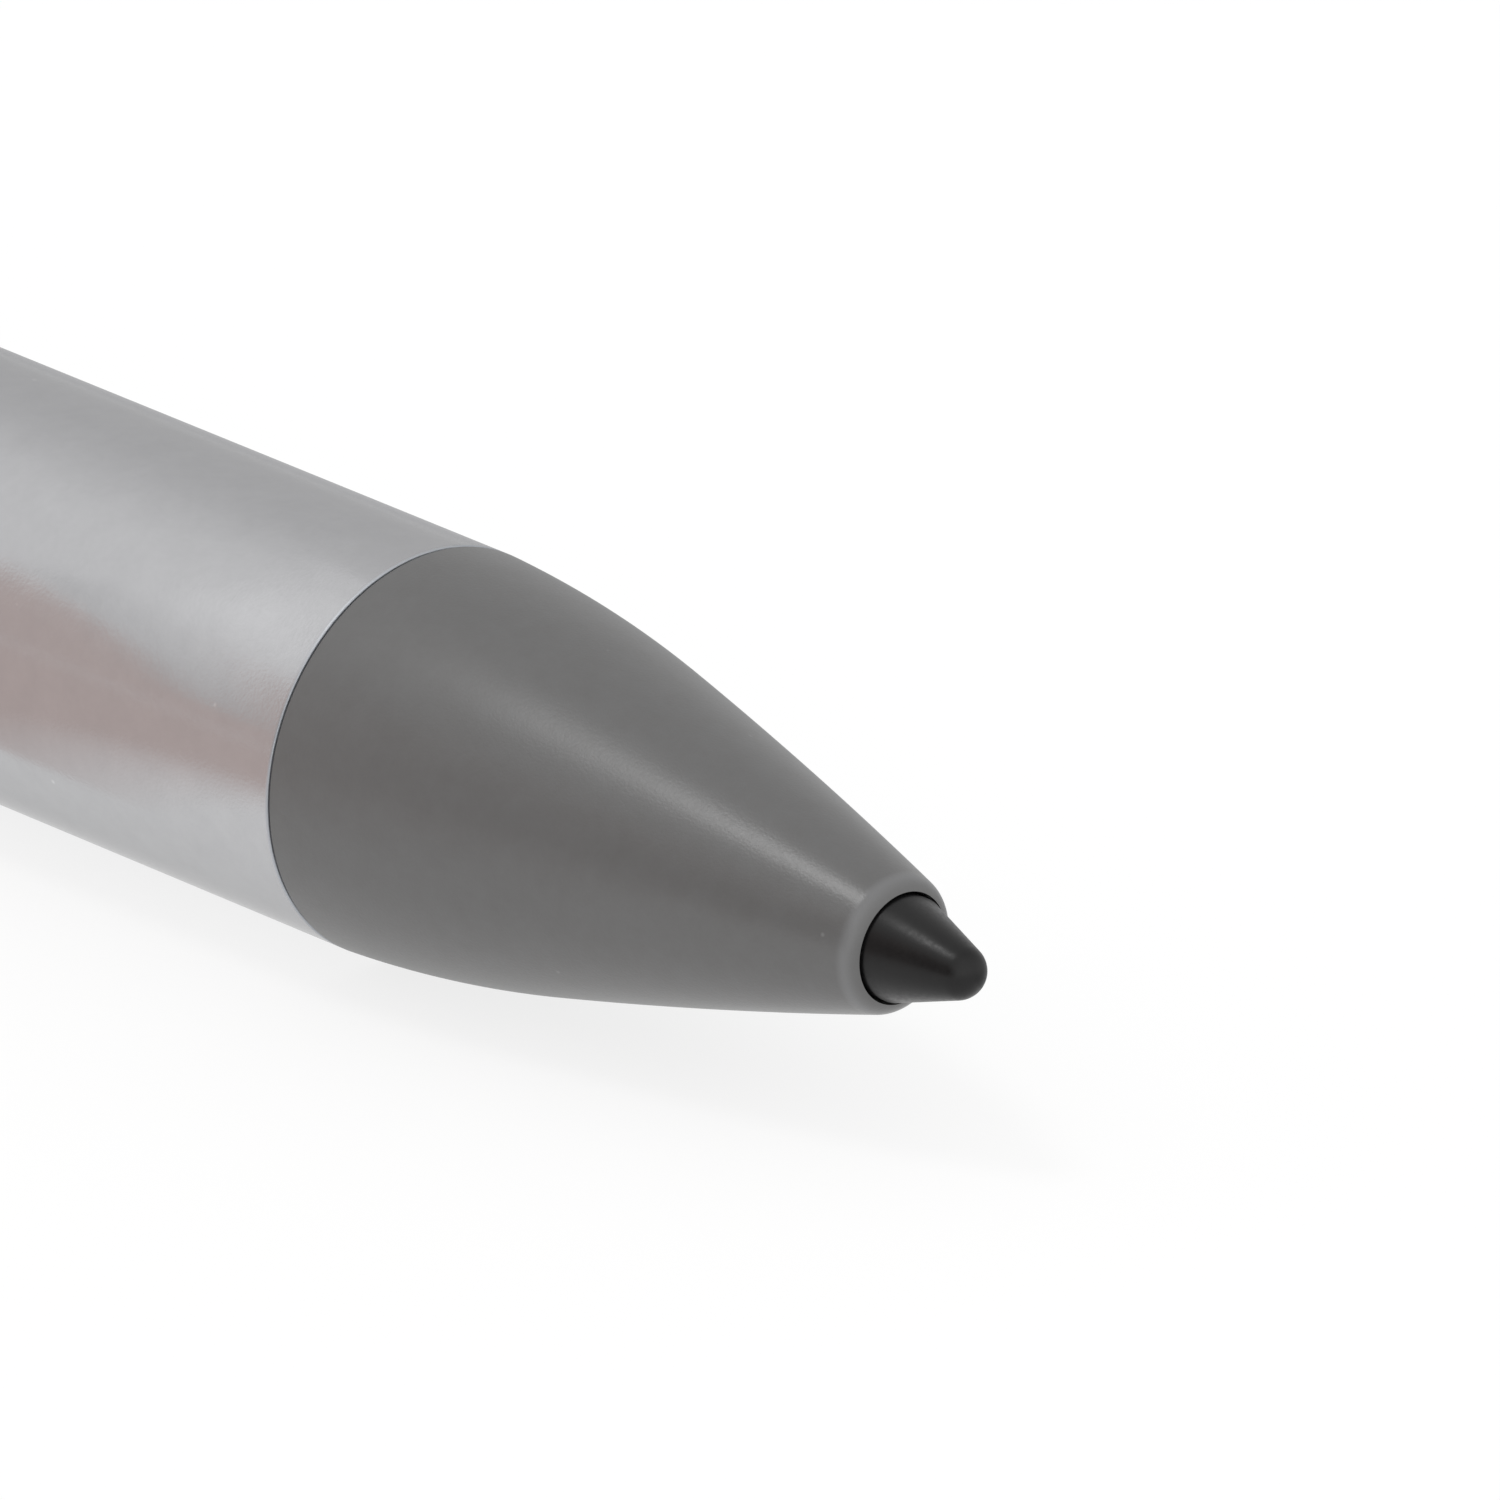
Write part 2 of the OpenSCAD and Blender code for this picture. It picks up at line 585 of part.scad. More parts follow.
module battery_can() color([0.2, 0.2, 0.22]) laid()
    turned([[0, cell_back + cell_nub], [cell_d / 2 - cell_round, cell_back + cell_nub],
        [cell_d / 2, cell_back + cell_nub + cell_round], [cell_d / 2, cell_x - cell_round],
        [cell_d / 2 - cell_round, cell_x], [0, cell_x]]);

module battery_terminal() color(steel) laid()
    rod(cell_back + cell_nub, cell_back, terminal_d / 2);

module plus_contact() color(brass) laid() {
    rod(contact_x, plug_x - contact_head_t, contact_head_d / 2);
    rod(plug_x - contact_head_t, plug_back, contact_pin_d / 2);
}

module threaded_plug() color(grey) laid() difference() {
    union() {
        rod(plug_x, tail_x, bore_r - 0.25);
        thread_form(thread_x, thread_x - thread_len, thread_r);
        rod(tail_x, plug_back, spigot_r);
    }
    rod(plug_x + 1, plug_x - contact_head_t, contact_head_d / 2 + fit_gap);
    rod(plug_x, plug_back - 1, contact_pin_d / 2 + fit_gap);
}

module tail_gasket() color(black) laid() difference() {
    rod(rear_end, tail_x, barrel_r - 0.15);
    rod(rear_end + 1, tail_x - 1, bore_r);
}

module tail_sleeve() color(silver) laid() difference() {
    turned(concat([[bore_r, tail_x], [bore_r, lip_back_x], [button_d / 2 + button_gap, lip_back_x],
        [button_d / 2 + button_gap, tail_end]],
        [for (i = [0:6])
            [barrel_r - tail_round * (1 - sin(15 * i)), tail_end + tail_round * (1 - cos(15 * i))]],
        [[barrel_r, tail_x - edge_break], [barrel_r - edge_break, tail_x]]));
    translate([clip_leg_x - clip_t / 2 - clip_slot_gap, -clip_w / 2 - clip_slot_gap, bore_r - 1])
        cube([clip_t + 2 * clip_slot_gap, clip_w + 2 * clip_slot_gap, barrel_wall + 2]);
}

module tail_board() color(green) laid() rod(tail_board_x, tail_board_back, carrier_r);

module radio_chip() color(black) laid()
    translate([tail_board_back - 0.6, carrier_r - 1.45, -0.9]) cube([0.6, 1, 1.8]);

module tail_switch() color(steel) laid() rod(tail_board_back, switch_back, tail_switch_d / 2);

module tail_spring() color(steel) laid()
    wound(tail_board_back, button_flange_x, tail_spring_r, tail_spring_r, 5, tail_wire_d / 2);

module tail_button() color(grey) laid()
    turned(concat([[0, stem_x], [button_stem_d / 2, stem_x], [button_stem_d / 2, button_flange_x],
        [carrier_r - fit_gap, button_flange_x], [carrier_r - fit_gap, lip_back_x + end_gap],
        [button_d / 2, lip_back_x + end_gap]],
        [for (i = [0:6]) [button_d / 2 - button_round + button_round * cos(15 * i),
            button_end + button_round - button_round * sin(15 * i)]], [[0, button_end]]));

// the middle line of the clip as points along and away from the axis
clip_line = concat(
    [[clip_leg_x, bore_r + 0.1], [clip_leg_x, clip_arm_z - clip_bend_r - 0.3]],
    [for (i = [0:8]) let (a = 11.25 * i)
        [clip_leg_x + clip_bend_r * (1 - cos(a)), clip_arm_z - clip_bend_r + clip_bend_r * sin(a)]],
    [for (i = [1:6]) let (a = clip_curl * i / 6)
        [clip_arm_end + clip_curl_r * sin(a), clip_arm_z - clip_curl_r * (1 - cos(a))]],
    [for (i = [1:12]) let (a = clip_curl * (1 - i / 6))
        [clip_arm_end + clip_curl_r * (2 * sin(clip_curl) - sin(a)),
         clip_arm_z - clip_dip + clip_curl_r * (1 - cos(a))]]);

// the line's own direction at one point
function heading(i) = let (a = clip_line[max(0, i - 1)], b = clip_line[min(len(clip_line) - 1, i + 1)])
    (b - a) / norm(b - a);

// one face of the strip, half a thickness beside its middle line
function strip_side(s) = [for (i = [0:len(clip_line) - 1])
    clip_line[i] + s * clip_t / 2 * [-heading(i)[1], heading(i)[0]]];

module pocket_clip() color(steel) laid()
    translate([0, clip_w / 2, 0]) rotate([90, 0, 0]) linear_extrude(height = clip_w)
        polygon(concat(strip_side(1), [for (i = [len(clip_line) - 1:-1:0]) strip_side(-1)[i]]));

front_barrel();
rear_barrel();
battery_bulkhead();
nose_cone();
nib();
nib_holder();
tip_electrode();
tilt_electrode();
nib_guide();
nib_spring();
sensor_cup();
force_sensor();
sensor_flex();
board_carrier();
circuit_board();
board_chips();
board_screws();
key_switches();
front_key();
rear_key();
front_actuator();
rear_actuator();
minus_pin();
battery_spring();
battery_can();
battery_terminal();
plus_contact();
threaded_plug();
tail_gasket();
tail_sleeve();
tail_board();
radio_chip();
tail_switch();
tail_spring();
tail_button();
pocket_clip();
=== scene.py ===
import math

import bmesh
import bpy
from mathutils import Matrix, Vector


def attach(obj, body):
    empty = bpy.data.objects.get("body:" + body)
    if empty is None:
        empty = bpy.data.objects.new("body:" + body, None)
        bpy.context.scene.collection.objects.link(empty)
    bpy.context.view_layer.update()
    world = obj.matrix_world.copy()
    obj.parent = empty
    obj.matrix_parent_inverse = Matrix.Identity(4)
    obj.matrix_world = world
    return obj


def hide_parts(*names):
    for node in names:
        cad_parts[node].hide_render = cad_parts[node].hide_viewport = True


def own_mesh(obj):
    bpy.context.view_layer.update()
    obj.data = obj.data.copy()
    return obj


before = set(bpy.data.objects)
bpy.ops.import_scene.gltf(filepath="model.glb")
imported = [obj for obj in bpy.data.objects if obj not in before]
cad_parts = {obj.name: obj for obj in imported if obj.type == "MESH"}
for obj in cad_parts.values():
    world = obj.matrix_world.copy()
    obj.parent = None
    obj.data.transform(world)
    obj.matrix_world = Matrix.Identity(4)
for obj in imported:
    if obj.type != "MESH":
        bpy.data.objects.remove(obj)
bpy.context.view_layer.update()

# Camera
# A long lens looks at the writing end from the front right and from above, as a product
# close-up does. The rest of the pen runs out of the picture on the left.
mm = 0.001
lens_right = Vector((0.68034, 0.73290, 0.0))
lens_up = Vector((-0.27869, 0.25871, 0.92488))
lens_back = Vector((0.67785, -0.62923, 0.38026))
lens_place = Vector((593.56, -541.08, 330.21)) * mm
lens_length = 938.4
sensor_width = 36
far_limit = 50
camera_data = bpy.data.cameras.new("close_up")
camera_data.sensor_width = sensor_width
camera_data.lens = lens_length
camera_data.clip_end = far_limit
camera = bpy.data.objects.new("close_up", camera_data)
camera.matrix_world = Matrix.Translation(lens_place) @ Matrix(
    (lens_right, lens_up, lens_back)).transposed().to_4x4()
bpy.context.scene.collection.objects.link(camera)
bpy.context.scene.camera = camera
bpy.context.scene.view_settings.view_transform = "Standard"

# Floor
# A plain white sweep that the pen lies on, on its barrel and its clip. It keeps the pen's shadow
# and throws a little light up at it. From below it is see-through, so that the underside shows.
floor_z = -4.76
floor_r = 6
paper_white = 0.96
glow_share = 0.8
glow_upwards = 0.15


def make_object(bm, name):
    mesh = bpy.data.meshes.new(name)
    bm.to_mesh(mesh)
    bm.free()
    made = bpy.data.objects.new(name, mesh)
    bpy.context.scene.collection.objects.link(made)
    return made


# feed links a socket to another one, or gives it a plain value
def feed(tree, socket, value):
    if isinstance(value, bpy.types.NodeSocket):
        tree.links.new(value, socket)
    else:
        socket.default_value = value


# calculate adds one step of arithmetic and gives its result
def calculate(tree, operation, *values):
    step = tree.nodes.new("ShaderNodeMath")
    step.operation = operation
    for socket, value in zip(step.inputs, values):
        feed(tree, socket, value)
    return step.outputs[0]


def mix_shaders(tree, share, first, second):
    mix = tree.nodes.new("ShaderNodeMixShader")
    for socket, source in zip(mix.inputs, (share, first, second)):
        tree.links.new(source, socket)
    return mix.outputs[0]


bm = bmesh.new()
bmesh.ops.create_circle(bm, cap_ends=True, segments=96, radius=floor_r,
                        matrix=Matrix.Translation((0, 0, floor_z * mm)))
floor = make_object(bm, "floor")
white_sweep = bpy.data.materials.new("white_sweep")
white_sweep.use_nodes = True
tree = white_sweep.node_tree
tree.nodes.remove(tree.nodes["Principled BSDF"])
paper = tree.nodes.new("ShaderNodeBsdfDiffuse")
paper.inputs["Color"].default_value = (paper_white, paper_white, paper_white, 1)
ray = tree.nodes.new("ShaderNodeLightPath")
seen = calculate(tree, "MAXIMUM", ray.outputs["Is Camera Ray"], ray.outputs["Is Glossy Ray"])
seen = calculate(tree, "MAXIMUM", seen, ray.outputs["Is Transmission Ray"])
seen = calculate(tree, "MAXIMUM", seen, ray.outputs["Is Diffuse Ray"])
share = calculate(tree, "MULTIPLY", seen, glow_share)
strength = calculate(tree, "MULTIPLY_ADD", ray.outputs["Is Diffuse Ray"], glow_upwards, 1)
white = tree.nodes.new("ShaderNodeEmission")
tree.links.new(strength, white.inputs["Strength"])
clear = tree.nodes.new("ShaderNodeBsdfTransparent")
side = tree.nodes.new("ShaderNodeNewGeometry")
lit = mix_shaders(tree, share, paper.outputs[0], white.outputs[0])
one_way = mix_shaders(tree, side.outputs["Backfacing"], lit, clear.outputs[0])
tree.links.new(one_way, tree.nodes["Material Output"].inputs["Surface"])
floor.data.materials.append(white_sweep)

# Light
# A round soft box overhead, a little to the front, inside a pale grey tent that is lighter towards
# the front and the right. Low in front the tent opens on a warm room with a dark patch in it.
soft_box_way = Vector((-0.20, -0.30, 0.93)).normalized()
soft_box_far = 1.5
soft_box_size = 0.40
soft_box_power = 3.5
room_way = (-0.35, -0.92, 0.12)
room_colour = (0.715, 0.605, 0.577)
patch_way = (0.0, -0.99, 0.12)
patch_colour = (0.20, 0.17, 0.16)


# ramp turns a range of values into another one
def ramp(tree, value, start, end, low=0.0, high=1.0, kind="LINEAR"):
    slope = tree.nodes.new("ShaderNodeMapRange")
    slope.interpolation_type = kind
    for label, number in (("Value", value), ("From Min", start), ("From Max", end),
                          ("To Min", low), ("To Max", high)):
        feed(tree, slope.inputs[label], number)
    return slope.outputs[0]


def mix_colours(tree, share, first, second):
    mix = tree.nodes.new("ShaderNodeMix")
    mix.data_type = "RGBA"
    for socket, value in ((0, share), (6, first), (7, second)):
        feed(tree, mix.inputs[socket], value)
    return mix.outputs[2]


# facing tells how nearly a way points in one direction
def facing(tree, way, direction):
    turn = tree.nodes.new("ShaderNodeVectorMath")
    turn.operation = "DOT_PRODUCT"
    turn.inputs[1].default_value = Vector(direction).normalized()
    tree.links.new(way, turn.inputs[0])
    return turn.outputs["Value"]


soft_box_data = bpy.data.lights.new("soft_box", "AREA")
soft_box_data.shape = "DISK"
soft_box_data.size = soft_box_size
soft_box_data.energy = soft_box_power
soft_box = bpy.data.objects.new("soft_box", soft_box_data)
soft_box.location = soft_box_way * soft_box_far
soft_box.rotation_euler = soft_box_way.to_track_quat("Z", "Y").to_euler()
bpy.context.scene.collection.objects.link(soft_box)
tent = bpy.data.worlds.new("grey_tent")
tent.use_nodes = True
bpy.context.scene.world = tent
tree = tent.node_tree
way = tree.nodes.new("ShaderNodeTexCoord").outputs["Generated"]
split = tree.nodes.new("ShaderNodeSeparateXYZ")
tree.links.new(way, split.inputs[0])
front_side = ramp(tree, split.outputs["Y"], start=0.6, end=-0.2, low=0.73, high=0.95, kind="SMOOTHSTEP")
right_side = ramp(tree, split.outputs["X"], start=0.1, end=0.8, high=0.45, kind="SMOOTHSTEP")
room_side = ramp(tree, facing(tree, way, room_way), start=0.81, end=0.88, kind="SMOOTHSTEP")
patch_side = ramp(tree, facing(tree, way, patch_way), start=0.78, end=0.97, kind="SMOOTHSTEP")
tent_colour = calculate(tree, "ADD", front_side, right_side)
tent_colour = mix_colours(tree, room_side, tent_colour, (*room_colour, 1))
tent_colour = mix_colours(tree, patch_side, tent_colour, (*patch_colour, 1))
tree.links.new(tent_colour, tree.nodes["Background"].inputs["Color"])

# Cards
# A warm card on the floor in front of the barrel, a grey one behind it, and a white crescent that
# stands across the pen over the barrel. They glow softly, and only the gloss of the pen shows them.
card_z = -4.74
warm_corners = ((-4, -6), (-4, -455), (-900, -455), (-150, -6))
warm_clear_x = -7
warm_full_x = -15
grey_corners = ((40, 5.2), (40, 260), (-260, 260), (-160, 5.2))
grey_colour = (0.66, 0.66, 0.67)
crescent_x = -13
crescent_corners = ((-8.2, 8.1), (-8.1, 11), (-6.6, 14), (-4.2, 16.2), (-1, 17.2), (2.7, 16.9),
                    (2.7, 18.2), (-3, 18.2), (-10, 15.3), (-15.6, 9.5), (-17.6, 3.8), (-15, 3.5),
                    (-12.4, 5.4), (-10.6, 5.9), (-7.3, 5.8))
crescent_dim_z = 2
crescent_dim = 0.60
crescent_bright_z = 14
crescent_bright = 1.15


def cut_card(corners, name, colour):
    bm = bmesh.new()
    bm.faces.new([bm.verts.new((x * mm, y * mm, z * mm)) for x, y, z in corners])
    card = make_object(bm, name)
    stock = bpy.data.materials.new(name + "_stock")
    stock.use_nodes = True
    stock.cycles.emission_sampling = "NONE"
    shader = stock.node_tree.nodes["Principled BSDF"]
    shader.inputs["Base Color"].default_value = (0, 0, 0, 1)
    shader.inputs["Specular IOR Level"].default_value = 0
    shader.inputs["Emission Color"].default_value = (*colour, 1)
    shader.inputs["Emission Strength"].default_value = 1
    card.data.materials.append(stock)
    card.visible_camera = False
    card.visible_diffuse = False
    card.visible_shadow = False
    card.visible_transmission = False
    return stock.node_tree, shader


def fade_along(tree, axis, start, end, low, high):
    place = tree.nodes.new("ShaderNodeTexCoord")
    split = tree.nodes.new("ShaderNodeSeparateXYZ")
    tree.links.new(place.outputs["Object"], split.inputs[0])
    return ramp(tree, split.outputs[axis], start * mm, end * mm, low, high)


cut_card([(x, y, card_z) for x, y in grey_corners], "grey_card", grey_colour)
tree, shader = cut_card([(x, y, card_z) for x, y in warm_corners], "warm_card", room_colour)
tree.links.new(fade_along(tree, "X", warm_clear_x, warm_full_x, 0, 1), shader.inputs["Alpha"])
tree, shader = cut_card([(crescent_x, y, z) for y, z in crescent_corners], "white_crescent", (1, 1, 1))
glow = fade_along(tree, "Z", crescent_dim_z, crescent_bright_z, crescent_dim, crescent_bright)
tree.links.new(glow, shader.inputs["Emission Color"])
side = tree.nodes.new("ShaderNodeNewGeometry")
tree.links.new(calculate(tree, "SUBTRACT", 1, side.outputs["Backfacing"]), shader.inputs["Alpha"])

# Front barrel
# A drawn aluminium tube, bead blasted and clear anodised, that is the grip of the pen. Its ends are
# cut square and broken, which leaves a fine dull rim, and two windows are milled for the keys.
barrel_r = 4.75
bore_r = 4.25
edge_break = 0.035
edge_land = 0.1
front_end = 0.085
front_back = -50.0
key_middles = (-22.0, -34.0)
key_length = 10.0
key_width = 3.0
key_gap = 0.12
window_floor = 2.5
above_barrel = 6
almost_half = 0.4999
lie_roll = math.radians(117.908)
merge_gap = 1e-7
micron = 1e-6
noise_low = 0.3
noise_high = 0.7


def only_verts(parts):
    return [part for part in parts if isinstance(part, bmesh.types.BMVert)]


def draw_line(bm, start, x, r):
    end = bm.verts.new((x * mm, 0, r * mm))
    bm.edges.new((start, end))
    return end


def draw_arc(bm, start, x, r, turn, steps):
    swept = bmesh.ops.spin(bm, geom=[start], cent=(x * mm, 0, r * mm), axis=(0, 1, 0),
                           angle=math.radians(turn), steps=steps)
    return only_verts(swept["geom_last"])[0]


def draw_outline(bm, points, closed=True):
    first = bm.verts.new((points[0][0] * mm, 0, points[0][1] * mm))
    corners = [first]
    for x, r in points[1:]:
        corners.append(draw_line(bm, corners[-1], x, r))
    if closed:
        bm.edges.new((corners[-1], first))
    return corners


def round_corners(bm, corners, size, steps=4):
    bmesh.ops.bevel(bm, geom=corners, offset=size * mm, offset_type="OFFSET", segments=steps,
                    profile=0.5, affect="VERTICES", material=-1)


def smooth_faces(piece, crease=28):
    piece.data.shade_smooth()
    piece.data.set_sharp_from_angle(angle=math.radians(crease))


def make_piece(bm, name):
    piece = make_object(bm, name)
    smooth_faces(piece)
    return piece


def turn_on_lathe(bm, name, steps=192):
    bmesh.ops.spin(bm, geom=bm.verts[:] + bm.edges[:], cent=(0, 0, 0), axis=(1, 0, 0),
                   angle=math.tau, steps=steps, use_merge=True)
    bmesh.ops.remove_doubles(bm, verts=bm.verts[:], dist=merge_gap)
    bmesh.ops.recalc_face_normals(bm, faces=bm.faces[:])
    return make_piece(bm, name)


def stadium_block(name, middle, length, width, bottom, top):
    bm = bmesh.new()
    bmesh.ops.create_grid(bm, x_segments=1, y_segments=1, size=0.5)
    bmesh.ops.scale(bm, vec=(length * mm, width * mm, 1), verts=bm.verts[:])
    end_round = almost_half * width * mm
    bmesh.ops.bevel(bm, geom=bm.verts[:], offset=end_round, offset_type="OFFSET",
                    segments=20, profile=0.5, affect="VERTICES", material=-1)
    bmesh.ops.translate(bm, vec=(middle * mm, 0, bottom * mm), verts=bm.verts[:])
    raised = bmesh.ops.extrude_face_region(bm, geom=bm.faces[:])
    bmesh.ops.translate(bm, vec=(0, 0, (top - bottom) * mm), verts=only_verts(raised["geom"]))
    bmesh.ops.recalc_face_normals(bm, faces=bm.faces[:])
    return make_piece(bm, name)


def roll_over(piece):
    piece.data.transform(Matrix.Rotation(lie_roll, 4, "X"))


# work cuts a piece or adds to it with a tool, which is then taken away
def work(piece, tool, operation):
    step = piece.modifiers.new(operation.lower(), "BOOLEAN")
    step.operation = operation
    step.solver = "EXACT"
    step.object = tool
    finished = piece.evaluated_get(bpy.context.evaluated_depsgraph_get())
    worked = bpy.data.meshes.new_from_object(finished)
    piece.modifiers.clear()
    piece.data = worked
    bpy.data.objects.remove(tool)
    smooth_faces(piece)


def new_effect(name, values, result):
    effect = bpy.data.node_groups.new(name, "ShaderNodeTree")
    effect.interface.new_socket("Coordinates", in_out="INPUT", socket_type="NodeSocketVector")
    for label in values:
        effect.interface.new_socket(label, in_out="INPUT", socket_type="NodeSocketFloat")
    effect.interface.new_socket(result, in_out="OUTPUT", socket_type="NodeSocketFloat")
    return effect, effect.nodes.new("NodeGroupInput"), effect.nodes.new("NodeGroupOutput")


# fine_grain gives the height of a close, even grain
fine_grain, into, out = new_effect("fine_grain", ("Grains per Metre",), "Height")
speckle = fine_grain.nodes.new("ShaderNodeTexNoise")
speckle.inputs["Detail"].default_value = 2
fine_grain.links.new(into.outputs["Coordinates"], speckle.inputs["Vector"])
fine_grain.links.new(into.outputs["Grains per Metre"], speckle.inputs["Scale"])
fine_grain.links.new(speckle.outputs[0], out.inputs["Height"])

# soft_clouds gives a mask of broad soft patches with finer ones in them, as of an uneven finish
soft_clouds, into, out = new_effect("soft_clouds", ("Clouds per Metre",), "Mask")
cloud = soft_clouds.nodes.new("ShaderNodeTexNoise")
cloud.inputs["Detail"].default_value = 7
cloud.inputs["Roughness"].default_value = 0.75
soft_clouds.links.new(into.outputs["Coordinates"], cloud.inputs["Vector"])
soft_clouds.links.new(into.outputs["Clouds per Metre"], cloud.inputs["Scale"])
spread = ramp(soft_clouds, cloud.outputs[0], noise_low, noise_high)
soft_clouds.links.new(spread, out.inputs["Mask"])

# A mask of a narrow band round the pen at one place along it, used for the barrel's dull cut rim and for
# a painted highlight on the nose's lip
rim_band, into, out = new_effect("rim_band", ("Place", "Half Width"), "Mask")
along = rim_band.nodes.new("ShaderNodeSeparateXYZ")
rim_band.links.new(into.outputs["Coordinates"], along.inputs[0])
away = calculate(rim_band, "SUBTRACT", along.outputs["X"], into.outputs["Place"])
away = calculate(rim_band, "ABSOLUTE", away)
inside = ramp(rim_band, away, 0, into.outputs["Half Width"], low=1, high=0, kind="SMOOTHSTEP")
rim_band.links.new(inside, out.inputs["Mask"])

# pin_marks gives a mask of small single spots, far apart, as of dust and pin holes
pin_marks, into, out = new_effect("pin_marks", ("Marks per Metre", "Size"), "Mask")
scatter = pin_marks.nodes.new("ShaderNodeTexVoronoi")
pin_marks.links.new(into.outputs["Coordinates"], scatter.inputs["Vector"])
pin_marks.links.new(into.outputs["Marks per Metre"], scatter.inputs["Scale"])
spot = ramp(pin_marks, scatter.outputs["Distance"], 0, into.outputs["Size"], low=1, high=0)
pin_marks.links.new(spot, out.inputs["Mask"])


def place_effect(tree, effect, coordinates, values):
    placed = tree.nodes.new("ShaderNodeGroup")
    placed.node_tree = effect
    tree.links.new(coordinates, placed.inputs["Coordinates"])
    for label, value in values.items():
        placed.inputs[label].default_value = value
    return placed.outputs[0]


def lay_finish(name, dark, light, clouds, smooth, rough, grains, depth, metallic=0.0,
               stretch=(1, 1, 1)):
    finish = bpy.data.materials.new(name)
    finish.use_nodes = True
    tree = finish.node_tree
    shader = tree.nodes["Principled BSDF"]
    shader.inputs["Metallic"].default_value = metallic
    place = tree.nodes.new("ShaderNodeTexCoord")
    place.name = "place"
    run = tree.nodes.new("ShaderNodeMapping")
    run.inputs["Scale"].default_value = stretch
    tree.links.new(place.outputs["Object"], run.inputs["Vector"])
    patches = place_effect(tree, soft_clouds, place.outputs["Object"], {"Clouds per Metre": clouds})
    grain = place_effect(tree, fine_grain, run.outputs[0], {"Grains per Metre": grains})
    relief = tree.nodes.new("ShaderNodeBump")
    relief.inputs["Distance"].default_value = depth * micron
    tree.links.new(grain, relief.inputs["Height"])
    tint = mix_colours(tree, patches, (*dark, 1), (*light, 1))
    gloss = ramp(tree, grain, noise_low, noise_high, smooth, rough)
    tree.links.new(tint, shader.inputs["Base Color"])
    tree.links.new(gloss, shader.inputs["Roughness"])
    tree.links.new(relief.outputs[0], shader.inputs["Normal"])
    return finish


# open_finish gives what a further layer of a finish is joined to
def open_finish(finish):
    tree = finish.node_tree
    return tree, tree.nodes["place"].outputs["Object"], tree.nodes["Principled BSDF"].inputs


# tint_over lays a colour over a finish where a mask lets it
def tint_over(tree, mask, socket, colour):
    under = socket.links[0].from_socket
    tree.links.new(mix_colours(tree, mask, under, (*colour, 1)), socket)


# Lays a band of its own colour and roughness round the pen: on the barrel a dull cut rim, on the nose's
# lip a lighter painted highlight with a smoother finish
def rim_finish_and_highlight(finish, place_x, half_width, colour, roughness):
    tree, place, sockets = open_finish(finish)
    band = place_effect(tree, rim_band, place, {"Place": place_x * mm, "Half Width": half_width * mm})
    tint_over(tree, band, sockets["Base Color"], colour)
    gloss = tree.nodes.new("ShaderNodeMix")
    under = sockets["Roughness"].links[0].from_socket
    for socket, value in ((0, band), (2, under), (3, roughness)):
        feed(tree, gloss.inputs[socket], value)
    tree.links.new(gloss.outputs[0], sockets["Roughness"])


def wear_smooth(finish, start_x, end_x, share):
    tree, place, sockets = open_finish(finish)
    along = tree.nodes.new("ShaderNodeSeparateXYZ")
    tree.links.new(place, along.inputs[0])
    wear = ramp(tree, along.outputs["X"], start_x * mm, end_x * mm, 1, share)
    gloss = calculate(tree, "MULTIPLY", sockets["Roughness"].links[0].from_socket, wear)
    tree.links.new(gloss, sockets["Roughness"])


def scatter_marks(finish, marks, size, colour):
    tree, place, sockets = open_finish(finish)
    spots = place_effect(tree, pin_marks, place, {"Marks per Metre": marks, "Size": size})
    tint_over(tree, spots, sockets["Base Color"], colour)


anodised = lay_finish("satin_anodised_aluminium", dark=(0.490, 0.491, 0.502), light=(0.522, 0.523, 0.534),
                      clouds=1200, smooth=0.16, rough=0.20, grains=12000, depth=3, metallic=1.0)
metal = anodised.node_tree.nodes["Principled BSDF"]
metal.inputs["Specular Tint"].default_value = (0.80, 0.80, 0.80, 1)
rim_finish_and_highlight(anodised, front_end, half_width=edge_break * 3, colour=(0.47, 0.49, 0.52), roughness=0.6)
scatter_marks(anodised, marks=600, size=0.045, colour=(0.66, 0.66, 0.67))
bm = bmesh.new()
corners = draw_outline(bm, ((front_end, bore_r), (front_end, barrel_r),
                            (front_end - edge_land, barrel_r), (front_back + edge_land, barrel_r),
                            (front_back, barrel_r), (front_back, bore_r)))
round_corners(bm, (corners[1], corners[4]), edge_break)
front_tube = turn_on_lathe(bm, "front_tube")
for middle in key_middles:
    window = stadium_block("window_cutter", middle, key_length + 2 * key_gap, key_width + 2 * key_gap,
                           window_floor, above_barrel)
    roll_over(window)
    work(front_tube, window, "DIFFERENCE")
front_tube.data.materials.append(anodised)
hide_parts("front_barrel")
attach(front_tube, "barrel")

# Board, carrier and key switches
# A natural nylon carrier slides into the front barrel with the circuit board screwed on it. The
# chips and the two switches are soldered on, and an amber film runs forward to the force sensor.


def dress(finish, *names):
    for name in names:
        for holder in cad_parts[name].material_slots:
            holder.material = finish


natural_nylon = lay_finish("natural_nylon", dark=(0.60, 0.575, 0.51), light=(0.70, 0.68, 0.62),
                           clouds=260, smooth=0.42, rough=0.55, grains=6000, depth=4)
solder_mask = lay_finish("green_solder_mask", dark=(0.012, 0.11, 0.045), light=(0.022, 0.16, 0.07),
                         clouds=1400, smooth=0.25, rough=0.4, grains=5000, depth=3)
chip_epoxy = lay_finish("chip_epoxy", dark=(0.020, 0.020, 0.022), light=(0.032, 0.032, 0.034),
                        clouds=900, smooth=0.5, rough=0.68, grains=14000, depth=3)
amber_film = lay_finish("amber_film", dark=(0.42, 0.17, 0.035), light=(0.56, 0.26, 0.06),
                        clouds=700, smooth=0.18, rough=0.3, grains=2500, depth=1, stretch=(0.05, 1, 1))
